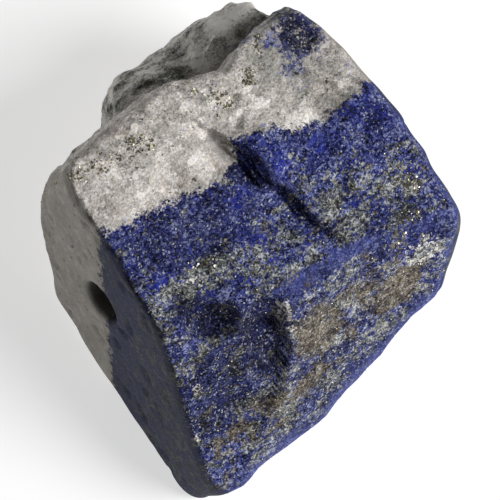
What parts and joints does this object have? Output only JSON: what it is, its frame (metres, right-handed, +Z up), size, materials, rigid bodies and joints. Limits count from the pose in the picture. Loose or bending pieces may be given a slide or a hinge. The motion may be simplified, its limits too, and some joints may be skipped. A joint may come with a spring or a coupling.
{
  "type": "rough lapis lazuli",
  "caption": "Rough lapis lazuli lump, sawn across both ends and drilled through, with a grey-white calcite side, blue granular front and pyrite flecks; lies on its flat back.",
  "frame": {"origin": "centre of the footprint's bounding box, at the height of the surface that the stone rests on", "axes": "+X along the drilled hole, from the sawn end shown on the left to the hidden one; +Y towards the ragged calcite ledge; +Z up, out of the broken front"},
  "size_m": [0.0209, 0.0255, 0.0148],
  "materials": {
    "lapis": "rough, slightly waxy",
    "pyrite": "small bright grains"
  },
  "bodies": {
    "root": {"lapis_stone": "lapis"}
  },
  "joints": []
}
